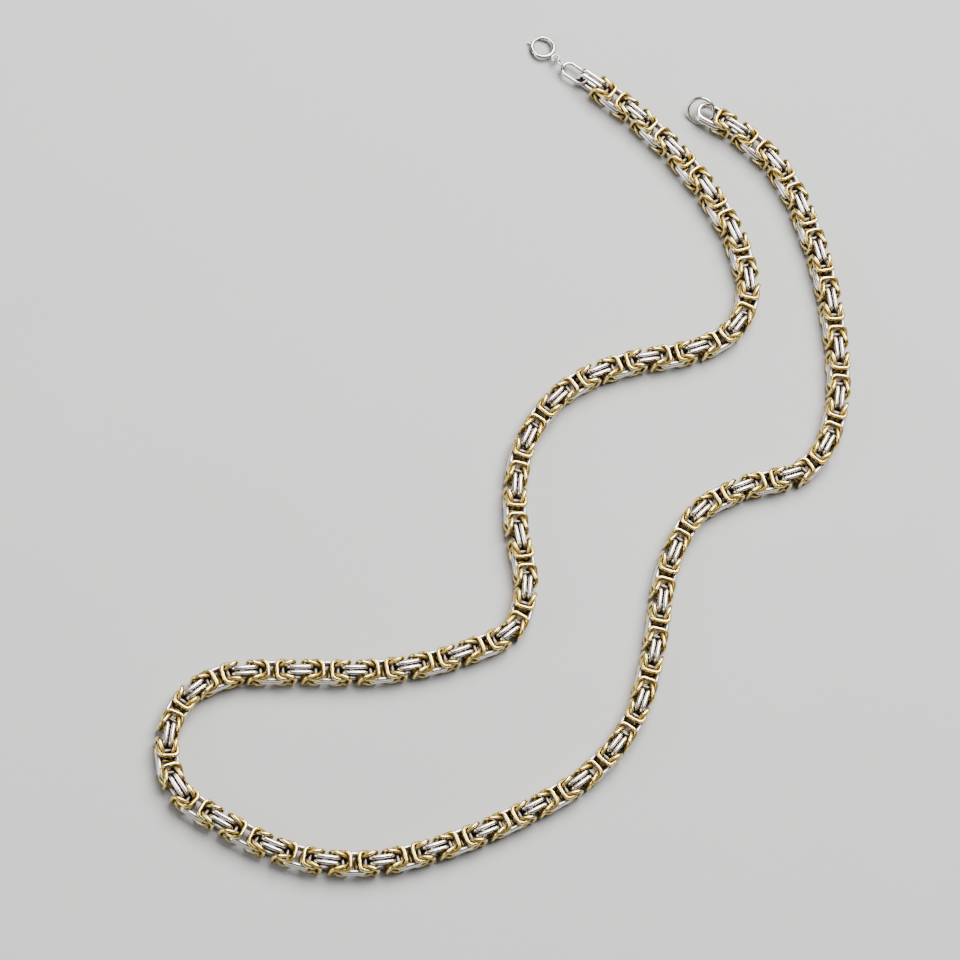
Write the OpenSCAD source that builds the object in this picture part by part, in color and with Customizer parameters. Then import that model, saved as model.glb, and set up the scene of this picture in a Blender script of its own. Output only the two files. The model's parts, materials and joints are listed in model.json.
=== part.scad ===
// Byzantine neck chain, undone and lying flat: silver connector links and gold knot links,
// with a spring ring on one end and a round closing ring on the other.
// Millimetres, +Z up, z = 0 is the surface that it lies on, origin below the middle of its outline.
// The links along the chain are too many to be solids of their own: two swept runs hold their place.

/* [Chain links] */
// Wire thickness of a silver link
link_wire = 1.05; // [0.9:0.05:1.15]
// Length of the silver links at the chain's two ends
link_len = 7.1; // [6.4:0.1:7.6]
// Width of a silver link, the widest part of the chain
link_wid = 5.1; // [4.8:0.1:5.8]
// Bend of a silver link's corners, to the middle of its wire
link_corner = 0.9; // [0.8:0.1:1.6]
// Space between the two links of a pair
pair_gap = 0.25; // [0.1:0.05:0.3]
// How far the closed ends of the gold links reach past their knot
reach = 2.6; // [2.3:0.1:2.8]
// Flat cut off each corner of the chain's square outline
corner_cut = 0.9; // [0.5:0.1:1.4]
// Space between the links and the walls that they lie between
play = 0.1; // [0.06:0.01:0.14]

/* [Clasp end] */
// Wire thickness of the end oval
oval_wire = 0.85; // [0.7:0.05:0.95]
// Length of the end oval over its round ends
oval_len = 7.2; // [6.4:0.1:8]
// Space beside the pair of links that the end oval holds
oval_room = 0.13; // [0.12:0.01:0.3]
// How far the end oval hangs below the middle of the chain
oval_drop = 0.7; // [0.5:0.05:0.8]
// Wire thickness of the small jump ring
jump_wire = 0.5; // [0.4:0.05:0.6]
// Outer diameter of the small jump ring
jump_d = 3.9; // [3.6:0.1:4.6]
// Space between the small jump ring and what it joins
jump_play = 0.22; // [0.2:0.01:0.3]
// Lean of the small jump ring from upright
jump_lean = 36; // [30:1:40]
// Outer diameter of the spring ring
clasp_d = 6.3; // [6:0.1:8]
// Diameter of the spring ring's tube
clasp_tube = 1.1; // [1:0.05:1.3]
// Wall of the spring ring's tube
clasp_wall = 0.22; // [0.18:0.01:0.25]
// Space between the bolt and the bore of the tube
bolt_gap = 0.05; // [0.03:0.01:0.07]
// Opening of the spring ring's mouth, as an angle
mouth_angle = 50; // [40:1:55]
// Length of bolt inside the tube behind the mouth, as an angle
bolt_tail = 60; // [50:1:65]
// Thickness of the lever that draws the bolt back
lever_d = 0.5; // [0.4:0.05:0.55]
// Height of the lever above the tube
lever_h = 0.55; // [0.4:0.05:0.8]
// Wire thickness of the eye soldered to the spring ring
eye_wire = 0.45; // [0.4:0.05:0.5]
// Outer diameter of that eye
eye_d = 2.1; // [2:0.05:2.4]
// Depth of solder between the eye and the tube
solder = 0.15; // [0.1:0.01:0.16]
// Turn of the clasp off the line of the chain
clasp_turn = -12; // [-15:1:12]

/* [Ring end] */
// Wire thickness of the closing ring
ring_wire = 0.8; // [0.7:0.05:0.95]
// Outer diameter of the closing ring
ring_d = 6.85; // [6.6:0.05:8]
// Bend of the corners of the links that hold the closing ring, at their outer end
hold_corner = 1.8; // [0.9:0.1:1.8]

/* [Hidden] */
$fn = 48;

// Middle line of the chain, from the clasp end to the ring end
route = [[19.8, 91.4], [34.5, 80], [47.5, 65], [54.5, 50.5], [55.5, 38.5], [50.5, 30.5], [41, 25.5],
    [26.5, 21.5], [12.5, 14], [2.5, -0.5], [0.5, -18], [3, -34], [0.5, -44], [-10.5, -50.5],
    [-28, -56], [-51.5, -58], [-65.5, -60], [-74.5, -67.5], [-76.8, -77], [-74.5, -86], [-64, -93],
    [-46, -100], [-30.5, -100], [-17, -96], [1, -87.5], [17.5, -76.5], [27, -64], [32.5, -44.5],
    [35.5, -27], [43, -13], [55, -6], [68, -1.5], [74, 7], [76.5, 17.5], [76, 35.5], [71.5, 57],
    [63, 75], [48.4, 85.8]];
last = len(route) - 1;
// The point at which the two runs meet
meet = 18;
rings_per_span = 2;

skin = 0.05;                                    // the runs stand this far proud of the widest links
chain_w = link_wid + 2 * skin;
mid_z = chain_w / 2;
pair_half = (link_wire + pair_gap) / 2;         // middle line of each link of a pair
pair_w = 2 * link_wire + pair_gap;
link_out = link_len - reach;                    // how far an end pair stands out of its run
slot_w = pair_w + 2 * play;
cut = 1;                                        // overshoot of a cutting tool

oval_wid = pair_w + 2 * oval_room + 2 * oval_wire;
oval_r = (oval_wid - oval_wire) / 2;
bar_r = (link_wid - link_wire) / 2;             // middle of a silver link to the middle of its long side
in_corner = max(0, oval_drop - bar_r + link_corner);
bar_end_x = link_out - link_wire / 2 - link_corner + sqrt(link_corner ^ 2 - in_corner ^ 2);
oval_x0 = bar_end_x - oval_r;
oval_span = oval_len - oval_wire;
jump_r = (jump_d - jump_wire) / 2;
jump_z = jump_r * cos(jump_lean) + jump_wire / 2 + skin;
oval_tilt = asin((mid_z - oval_drop - jump_z) / oval_span);
oval_x1 = oval_x0 + oval_span * cos(oval_tilt);

jump_x = jump_r - (oval_wire + jump_wire) / 2 - jump_play;
eye_r = (eye_d - eye_wire) / 2;
eye_x = jump_x + jump_r - (jump_wire + eye_wire) / 2 - jump_play + eye_r;
clasp_r = (clasp_d - clasp_tube) / 2;
eye_arm = clasp_r + clasp_tube / 2 + eye_d / 2 - solder;
clasp_tilt = asin((jump_z - clasp_tube / 2 - skin) / (eye_arm + clasp_r));
clasp_x = eye_x + eye_arm * cos(clasp_tilt);
clasp_z = jump_z - eye_arm * sin(clasp_tilt);
bore_d = clasp_tube - 2 * clasp_wall;
bolt_d = bore_d - 2 * bolt_gap;
lever_angle = 10;                               // lever's place behind the mouth, closed
tip_angle = 6;                                  // how far the closed bolt enters the far side
slot_slack = 3;
mouth_turn = -33;                               // where the mouth starts, from the ring's outer end
lever_slot = mouth_angle + tip_angle + 2 * slot_slack;
lever_half = asin(lever_d / 2 / clasp_r);

ring_r = (ring_d - ring_wire) / 2;
ring_tilt = asin((mid_z - ring_wire / 2 - skin) / ring_r);
ring_x = ring_wire / 2 + ring_r;

silver = "#c9c6c2";
gold = "#d9b65a";

function chord(i) = norm(route[i + 1] - route[i]);
function step_dir(i) = (route[i + 1] - route[i]) / chord(i);
function inner_heading(i) =
    (step_dir(i - 1) * chord(i) + step_dir(i) * chord(i - 1)) / (chord(i - 1) + chord(i));
function heading(i) =
    i == 0 ? 2 * step_dir(0) - inner_heading(1) :
    i == last ? 2 * step_dir(last - 1) - inner_heading(last - 1) :
    inner_heading(i);
// A point of the route, and the way it runs there, at share t of span i
function place(i, t) =
    (2 * t ^ 3 - 3 * t ^ 2 + 1) * route[i] + (t ^ 3 - 2 * t ^ 2 + t) * chord(i) * heading(i)
    + (3 * t ^ 2 - 2 * t ^ 3) * route[i + 1] + (t ^ 3 - t ^ 2) * chord(i) * heading(i + 1);
function way(i, t) =
    (6 * t ^ 2 - 6 * t) * (route[i] - route[i + 1]) + (3 * t ^ 2 - 4 * t + 1) * chord(i) * heading(i)
    + (3 * t ^ 2 - 2 * t) * chord(i) * heading(i + 1);
function turn_of(v) = atan2(v.y, v.x);

// Square outline with cut corners, eight points
half_w = chain_w / 2;
flat_w = half_w - corner_cut;
outline = [[half_w, -flat_w], [half_w, flat_w], [flat_w, half_w], [-flat_w, half_w],
    [-half_w, flat_w], [-half_w, -flat_w], [-flat_w, -half_w], [flat_w, -half_w]];
sides = len(outline);

function ring_at(i, t) =
    let (c = place(i, t), f = way(i, t) / norm(way(i, t)))
    [for (q = outline) [c.x - f.y * q[0], c.y + f.x * q[0], mid_z + q[1]]];
function run_rings(a, b) = concat(
    [for (i = [a : b - 1], k = [0 : rings_per_span - 1]) ring_at(i, k / rings_per_span)],
    [ring_at(b - 1, 1)]);

module run(a, b) {
    rings = run_rings(a, b);
    n = len(rings);
    sweep_faces = [for (r = [0 : n - 2], j = [0 : sides - 1])
        let (p = r * sides + j, q = r * sides + (j + 1) % sides)
        each [[p, p + sides, q + sides], [p, q + sides, q]]];
    caps = [[for (j = [0 : sides - 1]) j], [for (j = [sides - 1 : -1 : 0]) (n - 1) * sides + j]];
    polyhedron(points = [for (r = rings) each r], faces = concat(sweep_faces, caps));
}

// Puts its children in the frame of an end of the chain: +X points out of the chain's end
module at_clasp_end() {
    translate([route[0].x, route[0].y, 0])
        rotate([0, 0, turn_of(-heading(0))])
        children();
}

module at_ring_end() {
    translate([route[last].x, route[last].y, 0])
        rotate([0, 0, turn_of(heading(last))])
        children();
}

// Link of round wire, flat on the XY plane, from the middle of its wire at the near end along +X;
// near and far are the bends of the corners at its two ends
module wire_link(length, width, wire, near, far) {
    side_y = (width - wire) / 2;
    span = length - wire;
    for (end = [[0, near, 180], [span, far, 0]])
        translate([end[0], 0, 0]) rotate([0, 0, end[2]]) {
            across = side_y - end[1];
            for (side = [-1, 1])
                translate([-end[1], side * across, 0])
                rotate([0, 0, side > 0 ? 0 : -90])
                rotate_extrude(angle = 90) translate([end[1], 0]) circle(d = wire);
            if (across > 0)
                translate([0, across, 0]) rotate([90, 0, 0]) cylinder(d = wire, h = 2 * across);
        }
    for (side = [-1, 1])
        translate([near, side * side_y, 0]) rotate([0, 90, 0]) cylinder(d = wire, h = span - near - far);
}

module wire_ring(diameter, wire) {
    rotate_extrude() translate([(diameter - wire) / 2, 0]) circle(d = wire);
}

module chain_clasp_half() {
    color(gold) difference() {
        run(0, meet);
        // upright slot that the pair of bar links lies in
        at_clasp_end()
            translate([-reach - play, -slot_w / 2, -cut]) cube([reach + play + cut, slot_w, chain_w + 2 * cut]);
    }
}

module chain_ring_half() {
    color(gold) difference() {
        run(meet, last);
        // level slot that the pair of end links lies in
        at_ring_end()
            translate([-reach - play, -half_w - cut, mid_z - slot_w / 2])
            cube([reach + play + cut, chain_w + 2 * cut, slot_w]);
    }
}

// One upright silver link at the clasp end
module bar_link(side) {
    color(silver) at_clasp_end()
        translate([link_wire / 2 - reach, side * pair_half, mid_z])
        rotate([90, 0, 0]) wire_link(link_len, link_wid, link_wire, link_corner, link_corner);
}

module bar_link_left() { bar_link(1); }
module bar_link_right() { bar_link(-1); }

module end_oval() {
    color(silver) at_clasp_end()
        translate([oval_x0, 0, mid_z - oval_drop])
        rotate([0, oval_tilt, 0]) wire_link(oval_len, oval_wid, oval_wire, oval_r, oval_r);
}

// Frame at the outer end of the end oval, turned the way the clasp lies
module past_oval() {
    at_clasp_end() translate([oval_x1, 0, jump_z]) rotate([0, 0, clasp_turn]) children();
}

module clasp_jump_ring() {
    color(silver) past_oval()
        translate([jump_x, 0, 0]) rotate([90 - jump_lean, 0, 0]) wire_ring(jump_d, jump_wire);
}

// Frame of the spring ring: +Z is its axis, +X its outer end
module at_clasp() {
    past_oval() translate([clasp_x, 0, clasp_z - jump_z]) rotate([0, clasp_tilt, 0]) children();
}

module arc_of(start, angle) {
    rotate([0, 0, start]) rotate_extrude(angle = angle) children();
}

module clasp_ring() {
    color(silver) at_clasp() {
        difference() {
            arc_of(mouth_turn + mouth_angle, 360 - mouth_angle) translate([clasp_r, 0]) circle(d = clasp_tube);
            rotate_extrude() translate([clasp_r, 0]) circle(d = bore_d);
            // slot that the lever travels in
            arc_of(mouth_turn + mouth_angle + lever_angle - lever_half - slot_slack,
                lever_slot + 2 * lever_half)
                translate([clasp_r, -lever_d / 2 - bolt_gap])
                square([clasp_tube, lever_d + 2 * bolt_gap]);
        }
        translate([-eye_arm, 0, 0]) wire_ring(eye_d, eye_wire);
    }
}

module clasp_bolt() {
    color(silver) at_clasp() {
        arc_of(mouth_turn - tip_angle, mouth_angle + tip_angle + bolt_tail)
            translate([clasp_r, 0]) circle(d = bolt_d);
        rotate([0, 0, mouth_turn + mouth_angle + lever_angle]) translate([clasp_r, 0, 0])
            rotate([0, 90, 0]) cylinder(d = lever_d, h = clasp_tube / 2 + lever_h);
    }
}

// One flat silver link at the ring end
module end_link(side) {
    color(silver) at_ring_end()
        translate([link_wire / 2 - reach, 0, mid_z + side * pair_half])
        wire_link(link_len, link_wid, link_wire, link_corner, hold_corner);
}

module end_link_upper() { end_link(1); }
module end_link_lower() { end_link(-1); }

module closing_ring() {
    color(silver) at_ring_end()
        translate([ring_x, 0, mid_z]) rotate([-ring_tilt, 0, 0]) wire_ring(ring_d, ring_wire);
}

chain_clasp_half();
chain_ring_half();
bar_link_left();
bar_link_right();
end_oval();
clasp_jump_ring();
clasp_ring();
clasp_bolt();
end_link_upper();
end_link_lower();
closing_ring();
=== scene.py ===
# %% [markdown]
# A byzantine neck chain, undone and lying flat. On the real object 572 small rings of wire do all the
# work: silver pairs carry the chain, and gold pairs tie one silver pair to the next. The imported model
# holds the two ends as real links and the long weave between them as two plain swept runs.
# This scene weaves those runs link by link, gives every wire its finish, and lights the whole.
# The frame comes first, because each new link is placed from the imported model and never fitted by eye.

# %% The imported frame
import bpy
import json
import math
import random
from mathutils import Matrix, Vector


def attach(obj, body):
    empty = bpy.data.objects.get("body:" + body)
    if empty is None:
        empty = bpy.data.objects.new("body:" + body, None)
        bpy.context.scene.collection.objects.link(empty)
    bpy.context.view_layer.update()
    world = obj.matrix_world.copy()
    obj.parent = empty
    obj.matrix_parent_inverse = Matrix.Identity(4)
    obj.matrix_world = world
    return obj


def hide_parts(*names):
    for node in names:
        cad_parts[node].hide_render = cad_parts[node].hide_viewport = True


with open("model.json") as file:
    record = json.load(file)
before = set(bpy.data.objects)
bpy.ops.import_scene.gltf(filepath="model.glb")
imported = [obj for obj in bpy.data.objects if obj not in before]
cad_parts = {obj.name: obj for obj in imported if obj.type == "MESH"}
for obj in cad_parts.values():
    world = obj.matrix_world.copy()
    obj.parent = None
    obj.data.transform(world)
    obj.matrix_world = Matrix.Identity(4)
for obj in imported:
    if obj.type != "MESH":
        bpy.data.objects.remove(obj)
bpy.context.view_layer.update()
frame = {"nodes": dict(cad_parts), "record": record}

print("nodes:", ", ".join(sorted(frame["nodes"])))

# %% [markdown]
# The camera stands where the photographer stood: high above the chain, a little to the lower left of it,
# and far enough away that near and far links look equally wide. A long lens gives that. Its place is a
# direction and a distance from the middle of the view, so that it can be read and changed by itself.

# %% Camera
MM = 0.001
VIEW_MIDDLE = Vector((-7.5, -9.5, 2.6)) * MM
CAMERA_DISTANCE = 1023.5 * MM
CAMERA_FROM_UPRIGHT = math.radians(24)
CAMERA_HEADING = math.radians(242)
LENS_ANGLE = math.radians(12)

away = Vector((
    math.sin(CAMERA_FROM_UPRIGHT) * math.cos(CAMERA_HEADING),
    math.sin(CAMERA_FROM_UPRIGHT) * math.sin(CAMERA_HEADING),
    math.cos(CAMERA_FROM_UPRIGHT)))
right = Vector((0, 1, 0)).cross(away).normalized()
up = away.cross(right)
camera = bpy.data.objects.new("camera", bpy.data.cameras.new("camera"))
camera.data.lens = camera.data.sensor_width / 2 / math.tan(LENS_ANGLE / 2)
camera.matrix_world = Matrix.Translation(VIEW_MIDDLE + CAMERA_DISTANCE * away) @ Matrix(
    (right, up, away)).transposed().to_4x4()
bpy.context.scene.collection.objects.link(camera)
bpy.context.scene.camera = camera
print(f"lens {camera.data.lens:.1f} mm at {CAMERA_DISTANCE:.2f} m")

# %% [markdown]
# The chain lies along one smooth line. Its points were chosen along the middle of the chain, and
# they are the same points that the imported runs were swept along, so links and runs share their place.
# A curve object could hold the line too, but a few lines of arithmetic give the same curve as the
# source of the runs to the last hair, which matters here: a link is only 5 mm wide.

# %% Middle line of the chain
ROUTE = [Vector(p) * MM for p in (
    (19.8, 91.4), (34.5, 80), (47.5, 65), (54.5, 50.5), (55.5, 38.5), (50.5, 30.5), (41, 25.5),
    (26.5, 21.5), (12.5, 14), (2.5, -0.5), (0.5, -18), (3, -34), (0.5, -44), (-10.5, -50.5),
    (-28, -56), (-51.5, -58), (-65.5, -60), (-74.5, -67.5), (-76.8, -77), (-74.5, -86), (-64, -93),
    (-46, -100), (-30.5, -100), (-17, -96), (1, -87.5), (17.5, -76.5), (27, -64), (32.5, -44.5),
    (35.5, -27), (43, -13), (55, -6), (68, -1.5), (74, 7), (76.5, 17.5), (76, 35.5), (71.5, 57),
    (63, 75), (48.4, 85.8))]
MEET = 18                     # the point at which the two runs meet
STEPS_PER_SPAN = 60


def headings(points):
    """The way the line runs through each point, from the spans on both sides of it."""
    spans = [b - a for a, b in zip(points, points[1:])]
    ways = [
        (one.normalized() * two.length + two.normalized() * one.length) / (one.length + two.length)
        for one, two in zip(spans, spans[1:])]
    return [2 * spans[0].normalized() - ways[0], *ways, 2 * spans[-1].normalized() - ways[-1]]


def smooth_line(points):
    """Many short steps along the smooth line through the points."""
    ways = headings(points)
    line = []
    for a, b, way_a, way_b in zip(points, points[1:], ways, ways[1:]):
        chord = (b - a).length
        for step in range(STEPS_PER_SPAN):
            t = step / STEPS_PER_SPAN
            line.append(
                (2 * t**3 - 3 * t**2 + 1) * a + (t**3 - 2 * t**2 + t) * chord * way_a
                + (3 * t**2 - 2 * t**3) * b + (t**3 - t**2) * chord * way_b)
    return line + [points[-1]]


line = smooth_line(ROUTE)
distance = [0.0]
for a, b in zip(line, line[1:]):
    distance.append(distance[-1] + (b - a).length)
meet_distance = distance[MEET * STEPS_PER_SPAN]
print(f"the weave is {distance[-1] / MM:.0f} mm long, and its runs meet at {meet_distance / MM:.0f} mm")

# %% [markdown]
# A knot sits every 6.1 mm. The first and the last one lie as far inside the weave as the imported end
# links reach into it, and the rest share the way between them equally. Even spacing is what a real
# machine-made chain has, so the knots are counted and the pitch follows from the count.

# %% Places of the knots
KNOTS = 95
REACH = 2.6 * MM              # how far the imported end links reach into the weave


def point_at(way_along):
    """The point of the middle line at a distance from its clasp end."""
    i = next(k for k in range(1, len(distance)) if distance[k] >= way_along)
    share = (way_along - distance[i - 1]) / (distance[i] - distance[i - 1])
    return line[i - 1].lerp(line[i], share)


pitch = (distance[-1] - 2 * REACH) / (KNOTS - 1)
along = [REACH + k * pitch for k in range(KNOTS)]
knot_at = [point_at(s) for s in along]
ways = headings(ROUTE)
stretch = [ways[0].normalized()]
stretch += [(b - a).normalized() for a, b in zip(knot_at, knot_at[1:])]
stretch.append(ways[-1].normalized())
print(f"{KNOTS} knots, {pitch / MM:.3f} mm apart")

# %% [markdown]
# Every link is one closed loop of round wire. On the bench it is wound round a former and cut off. A
# torus would be the nearest primitive, but these links aren't round: the silver ones are rounded
# rectangles, and the gold ones are square at the end that shows on the outside and round at the other.
# So a loop starts as a flat rectangle, its corners are rounded one end at a time, its face is dropped,
# and the outline that is left becomes wire with six sides. With smooth shading that looks round, and
# hundreds of links are woven into one chain, so each is kept to a few dozen faces.

# %% A loop of wire
WIRE_ROUNDING = 1             # gives the wire six sides
AT_THE_END = 0.999            # share of the half length from which a vertex counts as a corner


def deselect_all():
    bpy.ops.object.select_all(action="DESELECT")


def round_corners(outline, at_far_end, radius, steps):
    """Rounds the two corners at one end of a flat rectangle."""
    end = max(v.co.x for v in outline.data.vertices)
    for vertex in outline.data.vertices:
        reached = vertex.co.x if at_far_end else -vertex.co.x
        vertex.select = reached > end * AT_THE_END
    bpy.ops.object.mode_set(mode="EDIT")
    bpy.ops.mesh.bevel(offset=radius, segments=steps, affect="VERTICES", clamp_overlap=False)
    bpy.ops.object.mode_set(mode="OBJECT")


def wire_loop(name, length, width, wire, near_end, far_end):
    """A loop of round wire on the XY plane, its middle at the origin. Length and width are over the
    wire's outside. Each end is the radius of its corners, to the wire's middle, and their steps."""
    deselect_all()
    bpy.ops.mesh.primitive_plane_add(size=1)
    loop = bpy.context.active_object
    loop.name = name
    loop.scale = (length - wire, width - wire, 1)
    bpy.ops.object.transform_apply(scale=True)
    bpy.context.tool_settings.mesh_select_mode = (True, False, False)
    bpy.ops.object.mode_set(mode="EDIT")
    bpy.ops.mesh.select_all(action="DESELECT")
    bpy.ops.object.mode_set(mode="OBJECT")
    round_corners(loop, False, *near_end)
    bpy.ops.object.mode_set(mode="EDIT")
    bpy.ops.mesh.select_all(action="DESELECT")
    bpy.ops.object.mode_set(mode="OBJECT")
    round_corners(loop, True, *far_end)
    bpy.ops.object.mode_set(mode="EDIT")
    bpy.ops.mesh.select_all(action="SELECT")
    bpy.ops.mesh.remove_doubles(threshold=wire / 100)
    bpy.ops.mesh.select_all(action="SELECT")
    bpy.ops.mesh.delete(type="ONLY_FACE")
    bpy.ops.object.mode_set(mode="OBJECT")
    bpy.ops.object.convert(target="CURVE")
    loop.data.dimensions = "3D"
    loop.data.bevel_depth = wire / 2
    loop.data.bevel_resolution = WIRE_ROUNDING
    bpy.ops.object.convert(target="MESH")
    bpy.ops.object.mode_set(mode="EDIT")
    bpy.ops.mesh.select_all(action="SELECT")
    bpy.ops.mesh.normals_make_consistent(inside=False)
    bpy.ops.object.mode_set(mode="OBJECT")
    bpy.ops.object.shade_smooth()
    return loop


# %% [markdown]
# Silver links work in pairs that lie side by side, and show as two long straight bars. Gold links lean:
# each runs from deep inside the knot, where it holds a silver pair, up to the chain's skin, where its
# closed end shows. The sizes are the real ones. The lean and the places inside the knot were worked out
# so that no wire of a straight knot cuts into another.

# %% Sizes of the links
SILVER_WIRE = 1.05 * MM
SILVER_LENGTH = 6.05 * MM
SILVER_WIDTH = 5.1 * MM
SILVER_CORNER = 0.5 * MM
PAIR_HALF = 0.65 * MM         # middle of each link of a pair from the middle of the chain
GOLD_WIRE = 0.9 * MM
GOLD_WIDTH = 5.14 * MM
GOLD_INNER_CORNER = 1.7 * MM
GOLD_OUTER_CORNER = 1.1 * MM
INNER_X, INNER_Z = -1.75 * MM, 0.86 * MM      # inner end of a gold link, from the middle of its knot
OUTER_X, OUTER_Z = 2.1 * MM, 2.14 * MM        # its closed end
MIDDLE_Z = 2.6 * MM

gold_rise = OUTER_Z - INNER_Z
gold_run = OUTER_X - INNER_X
gold_length = math.hypot(gold_run, gold_rise) + GOLD_WIRE
gold_lean = math.atan2(gold_rise, gold_run)

silver_link = wire_loop(
    "silver_link", SILVER_LENGTH, SILVER_WIDTH, SILVER_WIRE, (SILVER_CORNER, 2), (SILVER_CORNER, 2))
gold_link = wire_loop(
    "gold_link", gold_length, GOLD_WIDTH, GOLD_WIRE, (GOLD_INNER_CORNER, 2), (GOLD_OUTER_CORNER, 3))
for link in (silver_link, gold_link):
    print(f"{link.name}: {len(link.data.polygons)} faces")

# %% [markdown]
# A silver pair and a knot of four gold links are each assembled once, in their own small frame. X runs
# along the chain from the upright silver pair to the flat one. One gold pair leans up and down and holds
# the upright silver pair. The other pair is the same knot turned over: it points the other way, leans to
# the sides and holds the flat silver pair.
# Tumbling polishes the outside of a chain. The wires deep inside it lie in shade, as does the end of a
# gold link that is tucked into the knot, and that shade is painted into their colour. Each vertex
# remembers how deep it lies, and each link has a tone of its own, so that the finish can tell them apart.

# %% A silver pair and a knot
QUARTER = math.pi / 2
SKIN_DEPTH = 2.1 * MM         # from here outwards a wire gets no painted shade
CORE_DEPTH = 1.0 * MM         # from here inwards it is fully in painted shade
TUCKED = (-0.2 * MM, -1.6 * MM)          # along a gold link: where its painted shade starts, and where it is full
TONE_STEP = 0.27              # difference in tone between the links of one group


def place_copy(link, name, placement):
    """A copy of a link with its own mesh, moved within the mesh."""
    copy = link.copy()
    copy.data = link.data.copy()
    copy.name = name
    copy.data.transform(placement)
    bpy.context.scene.collection.objects.link(copy)
    return copy


def join(pieces, name):
    deselect_all()
    for piece in pieces:
        piece.select_set(True)
    bpy.context.view_layer.objects.active = pieces[0]
    bpy.ops.object.join()
    pieces[0].name = pieces[0].data.name = name
    return pieces[0]


def remember(piece, attribute, values):
    layer = piece.data.attributes.new(attribute, "FLOAT", "POINT")
    layer.data.foreach_set("value", values)


def share_between(value, none, all_of_it):
    """0 up to one value, 1 from another value on, and even between them."""
    return min(1.0, max(0.0, (value - none) / (all_of_it - none)))


def assemble(link, name, placements, tucked=(-1.0, -2.0)):
    """Copies of one link joined to a group that knows each vertex's depth, which sets its painted shade,
    and each link's tone. Tucked gives the places along the lone link, in metres, where its painted shade
    starts and where it is full."""
    copies = []
    for number, placement in enumerate(placements):
        copy = place_copy(link, f"{name}_{number}", placement)
        # Depth is the share of painted shade: deep inside the chain and at a gold link's tucked end.
        depths = []
        for lone, placed in zip(link.data.vertices, copy.data.vertices):
            off_line = max(abs(placed.co.y), abs(placed.co.z))      # the chain is nearly square across
            depths.append(max(
                share_between(off_line, SKIN_DEPTH, CORE_DEPTH), share_between(lone.co.x, *tucked)))
        remember(copy, "depth", depths)
        remember(copy, "tone", [number * TONE_STEP] * len(copy.data.vertices))
        copies.append(copy)
    return join(copies, name)


upright_pair = assemble(silver_link, "upright_pair", [
    Matrix.Translation((0, side * PAIR_HALF, 0)) @ Matrix.Rotation(QUARTER, 4, "X") for side in (1, -1)])
flat_pair = assemble(silver_link, "flat_pair", [
    Matrix.Translation((0, 0, side * PAIR_HALF)) for side in (1, -1)])

gold_middle = Vector((INNER_X + OUTER_X, 0, INNER_Z + OUTER_Z)) / 2
leaning_up = Matrix.Translation(gold_middle) @ Matrix.Rotation(-gold_lean, 4, "Y")
turned_over = Matrix.Rotation(math.pi, 4, "X")
gold_upper_lower = assemble(
    gold_link, "gold_upper_lower", [leaning_up, turned_over @ leaning_up], TUCKED)
to_the_sides = Matrix.Rotation(math.pi, 4, "Z") @ Matrix.Rotation(QUARTER, 4, "X")
gold_sides = assemble(
    gold_link, "gold_sides", [to_the_sides @ leaning_up, to_the_sides @ turned_over @ leaning_up], TUCKED)
print("silver pairs and gold pairs assembled")

# %% [markdown]
# Where the chain bends, it bends in its knots. The silver pairs stay straight from knot to knot, and the
# gold pairs give way: they slip towards the inside of the bend and turn a little with it. How far was
# tried out on the real sizes, for bends of up to 20 degrees in one knot.
# A knot always has the upright pair on one side and the flat pair on the other, so every second knot is
# turned end for end.

# %% Weaving
SLIP = 0.75 * MM              # sideways slip of the gold pairs, for each radian of bend
DRAW_BACK = 0.3 * MM          # slip of the upper and lower pair towards the upright pair, likewise
GIVE = 0.18                   # share of the bend that the gold pairs turn by
random.seed(12)


def heading_of(way):
    return math.atan2(way.y, way.x)


def stand(place, turn):
    """The placement of a group at a point of the middle line, turned on the surface."""
    return Matrix.Translation((place.x, place.y, MIDDLE_Z)) @ Matrix.Rotation(turn, 4, "Z")


def woven_copy(group, number, placement):
    copy = place_copy(group, f"{group.name}_{number}", placement)
    tone = copy.data.attributes["tone"].data
    shift = random.random()
    for value in tone:
        value.value = (value.value + shift) % 1.0
    return copy


gold = {"clasp": [], "ring": []}
silver = {"clasp": [], "ring": []}
for k in range(KNOTS):
    half = "clasp" if along[k] < meet_distance else "ring"
    before, after = heading_of(stretch[k]), heading_of(stretch[k + 1])
    bend = math.remainder(after - before, 2 * math.pi)
    from_upright = 1 if k % 2 == 0 else -1
    facing = before + bend / 2 + (0 if from_upright == 1 else math.pi)
    bend *= from_upright
    knot = stand(knot_at[k], facing)
    give = Matrix.Rotation(GIVE * bend, 4, "Z")
    upper_slip = Matrix.Translation((-DRAW_BACK * abs(bend), SLIP * bend, 0))
    side_slip = Matrix.Translation((0, SLIP * bend, 0))
    gold[half].append(woven_copy(gold_upper_lower, k, knot @ upper_slip @ give))
    gold[half].append(woven_copy(gold_sides, k, knot @ side_slip @ give))
for k in range(KNOTS - 1):
    half = "clasp" if along[k] + pitch / 2 < meet_distance else "ring"
    pair = flat_pair if k % 2 == 0 else upright_pair
    middle = (knot_at[k] + knot_at[k + 1]) / 2
    silver[half].append(woven_copy(pair, k, stand(middle, heading_of(stretch[k + 1]))))
for master in (silver_link, gold_link, upright_pair, flat_pair, gold_upper_lower, gold_sides):
    bpy.data.objects.remove(master)

# %% Joining the weave to four pieces
weave = {}
for half in ("clasp", "ring"):
    for metal, groups in (("gold", gold[half]), ("silver", silver[half])):
        piece = join(groups, f"{metal}_links_{half}_half")
        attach(piece, "chain")
        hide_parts(f"chain_{half}_half")
        weave[piece.name] = piece
        triangles = sum(len(p.vertices) - 2 for p in piece.data.polygons)
        print(f"{piece.name}: {len(groups)} groups, {triangles} triangles")

# %% [markdown]
# The finishes are shader graphs, and a graph is easier to read as arithmetic. One small class wraps a
# number that changes over the surface, so that plain + and * add the Math nodes. A second one holds the
# material, and its one method adds any other node.

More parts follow.
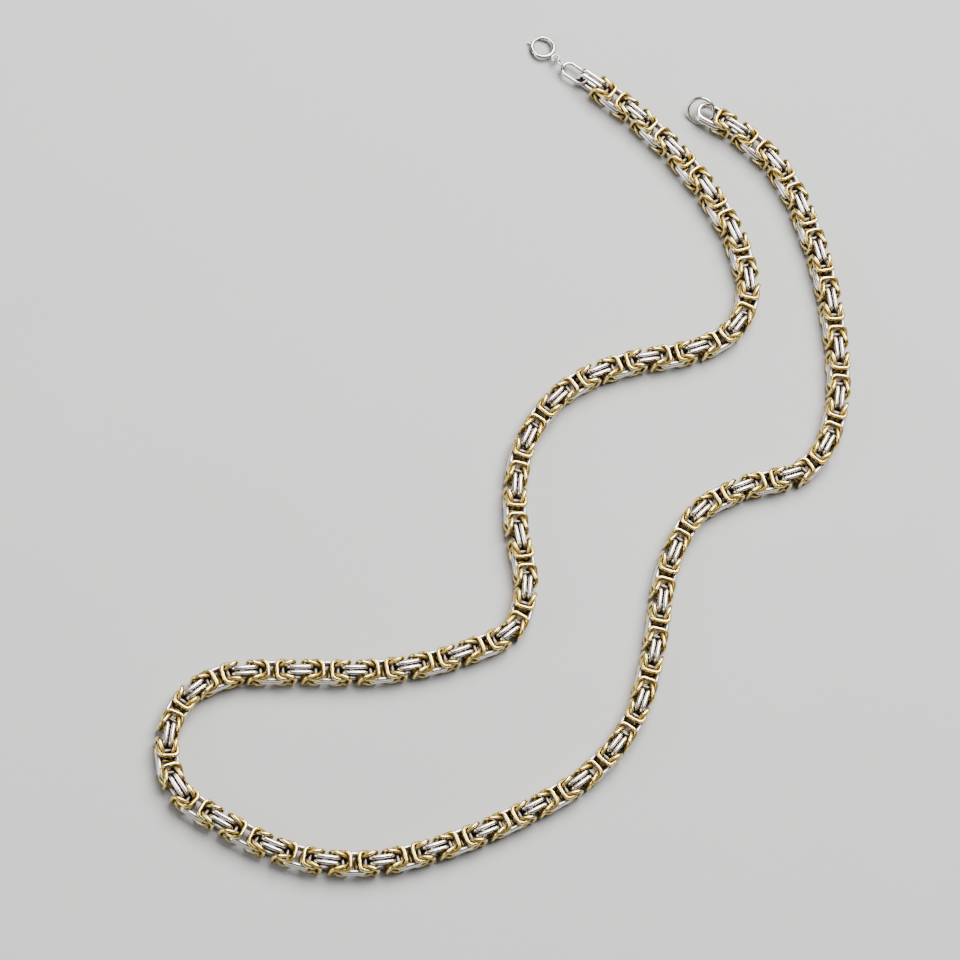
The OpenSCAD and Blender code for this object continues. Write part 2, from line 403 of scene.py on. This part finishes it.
# %% Shader arithmetic
class Amount:
    """A number that changes over a surface."""

    def __init__(self, finish, socket):
        self.finish = finish
        self.socket = socket

    def _math(self, operation, first, second):
        return self.finish.node("ShaderNodeMath", {"operation": operation}, {0: first, 1: second})

    def __add__(self, other):
        return self._math("ADD", self, other)

    def __radd__(self, other):
        return self._math("ADD", other, self)

    def __rsub__(self, other):
        return self._math("SUBTRACT", other, self)

    def __mul__(self, other):
        return self._math("MULTIPLY", self, other)


class Finish:
    """A material and its shader graph."""

    def __init__(self, name):
        self.material = bpy.data.materials.new(name)
        self.material.use_nodes = True
        self.tree = self.material.node_tree
        self.shader = self.tree.nodes["Principled BSDF"]

    def node(self, kind, settings=None, sockets=None, output=0):
        """A new node: its settings first, then the values or links of its sockets."""
        made = self.tree.nodes.new(kind)
        for name, value in (settings or {}).items():
            setattr(made, name, value)
        for name, value in (sockets or {}).items():
            self.feed(made.inputs[name], value)
        return Amount(self, made.outputs[output])

    def feed(self, socket, value):
        if isinstance(value, Amount):
            self.tree.links.new(value.socket, socket)
        else:
            socket.default_value = value

    def noise(self, size, detail=2.0):
        """Soft patches about as large as size, in metres, from 0 to 1."""
        place = self.node("ShaderNodeTexCoord", output="Object")
        return self.node("ShaderNodeTexNoise", sockets={"Vector": place, "Scale": 1 / size, "Detail": detail})

    def between(self, value, low, high):
        """0 up to one value, 1 from another value on, and even between them."""
        return self.node(
            "ShaderNodeMapRange", sockets={"Value": value, "From Min": low, "From Max": high})

    def blend(self, share, first, second):
        """A colour between two colours. The numbers are the places of the node's colour sockets."""
        return self.node(
            "ShaderNodeMix", {"data_type": "RGBA"}, {0: share, 6: first, 7: second}, output=2)


# %% [markdown]
# Polished steel wire is close to white, but never even: each link left the tumbler a little brighter or
# duller, fine scuffs cross the wire, and fingers leave soft patches. Deep inside the weave the wire lies in
# shade, and that shade is painted into its colour as a darker tone; the metal is also made rougher there.
# The crevices where wires lie close to each other get the same painted shade and roughness: an ambient
# occlusion node finds them, because it says how open a place is. The same recipe serves the gold plating
# with other colours, since it is the same wire under a thin coat.

# %% Polished wire
HANDLED_PATCH = 9 * MM        # size of the soft patches from handling
SCUFF = 0.25 * MM             # size of the scuffs
UNEVENNESS = 1.2 * MM         # size of the faint dents
DENT_DEPTH = 0.04 * MM
CREVICE_REACH = 2 * MM        # a wire this near makes a place less open
CREVICE_OPENNESS = (0.4, 0.88)           # openness of a full crevice, and of a place that is none
CREVICE_PAINTED_SHADE = 0.95      # how far a full crevice goes over to the shade colour, as painted shade
INSIDE_PAINTED_SHADE = 0.4        # how far the inside of the weave does, as painted shade too


def polished_wire(name, bright, deep, painted_shade_colour, roughness):
    """Metal wire: bright and deep are the colours of its best and dullest links, and the third colour is
    the painted shade of its crevices and of the inside of the weave."""
    wire = Finish(name)
    tone = wire.node("ShaderNodeAttribute", {"attribute_name": "tone"}, output="Fac")
    depth = wire.node("ShaderNodeAttribute", {"attribute_name": "depth"}, output="Fac")
    handled = wire.between(wire.noise(HANDLED_PATCH, 3), 0.35, 0.7)
    scuffs = wire.between(wire.noise(SCUFF, 4), 0.5, 0.75)
    # Painted shade in crevices: where wires lie close, the colour goes over to the shade colour.
    openness = wire.node(
        "ShaderNodeAmbientOcclusion", {"samples": 8}, {"Distance": CREVICE_REACH}, output="AO")
    crevice_shade = 1.0 - wire.between(openness, *CREVICE_OPENNESS)
    skin = wire.blend(tone * 0.6 + handled * 0.4, bright, deep)
    skin_with_crevice_shade = wire.blend(crevice_shade * CREVICE_PAINTED_SHADE, skin, painted_shade_colour)
    # Painted shade deep inside the weave and at tucked gold ends, from the depth attribute.
    wire.feed(wire.shader.inputs["Base Color"], wire.blend(depth * INSIDE_PAINTED_SHADE, skin_with_crevice_shade, painted_shade_colour))
    wire.feed(
        wire.shader.inputs["Roughness"],
        roughness + handled * 0.06 + scuffs * 0.08 + tone * 0.05 + depth * 0.25 + crevice_shade * 0.15)
    relief = wire.node("ShaderNodeBump", sockets={
        "Height": wire.noise(UNEVENNESS, 2), "Strength": 0.1, "Distance": DENT_DEPTH})
    wire.feed(wire.shader.inputs["Normal"], relief)
    wire.shader.inputs["Metallic"].default_value = 1.0
    print(f"finish {name}")
    return wire.material


# The third colour of each finish is the colour of its painted shade.
silver_finish = polished_wire(
    "polished_silver_steel", bright=(0.98, 0.93, 0.89, 1), deep=(0.86, 0.8, 0.76, 1),
    painted_shade_colour=(0.09, 0.065, 0.045, 1), roughness=0.18)
gold_finish = polished_wire(
    "pale_gold_plating", bright=(0.98, 0.8, 0.34, 1), deep=(0.93, 0.66, 0.16, 1),
    painted_shade_colour=(0.12, 0.055, 0.01, 1), roughness=0.18)
ring_finish = polished_wire(
    "soft_steel_rings", bright=(0.68, 0.655, 0.63, 1), deep=(0.5, 0.475, 0.45, 1),
    painted_shade_colour=(0.2, 0.185, 0.17, 1), roughness=0.22)
bolt_finish = polished_wire(
    "drawn_steel_bolt", bright=(0.66, 0.63, 0.6, 1), deep=(0.48, 0.45, 0.43, 1),
    painted_shade_colour=(0.2, 0.185, 0.17, 1), roughness=0.3)

# %% Every piece gets its finish
finish_of_slot = {
    "silver_links": silver_finish,
    "gold_links": gold_finish,
    "end_rings": ring_finish,
    "clasp_bolt": bolt_finish,
}


def dress(piece, finish):
    piece.data.materials.clear()
    piece.data.materials.append(finish)


for name, piece in weave.items():
    dress(piece, finish_of_slot[name.split("_")[0] + "_links"])
for row in frame["record"]["subparts"]:
    dress(frame["nodes"][row["node"]], finish_of_slot[row["material_slot"]])
print("all pieces dressed")

# %% [markdown]
# A plain pale floor and soft light from large sources. Polished wire shows what stands round it, so the
# lamps are wide panels: one overhead and a little behind, which draws the bright line along every wire,
# and a weaker one low on the left for the sides. The rest of the room stays a quiet grey.

# %% Floor and light
FLOOR_SIZE = 6.0              # metres
CARD_GRAIN = 40 * MM


def soft_panel(name, place, size, power):
    """A square area light that looks at the middle of the chain."""
    lamp = bpy.data.objects.new(name, bpy.data.lights.new(name, "AREA"))
    lamp.data.energy = power
    lamp.data.size = size
    lamp.location = place
    lamp.rotation_mode = "QUATERNION"
    lamp.rotation_quaternion = Vector(place).to_track_quat("Z", "Y")
    bpy.context.scene.collection.objects.link(lamp)


deselect_all()
bpy.ops.mesh.primitive_plane_add(size=FLOOR_SIZE)
floor = bpy.context.active_object
floor.name = "floor"
card = Finish("pale_card")
card.feed(card.shader.inputs["Base Color"], card.blend(
    card.noise(CARD_GRAIN, 4), (0.385, 0.382, 0.374, 1), (0.408, 0.405, 0.397, 1)))
card.shader.inputs["Roughness"].default_value = 0.6
floor.data.materials.append(card.material)

soft_panel("overhead_panel", place=(0.25, 0.5, 1.0), size=0.9, power=47)
soft_panel("left_panel", place=(-1.0, -0.3, 0.5), size=0.6, power=7)
room = bpy.data.worlds.new("room")
room.use_nodes = True
air = room.node_tree.nodes["Background"]
air.inputs["Color"].default_value = (0.9, 0.95, 1, 1)
air.inputs["Strength"].default_value = 0.15
bpy.context.scene.world = room
print("floor and light set")
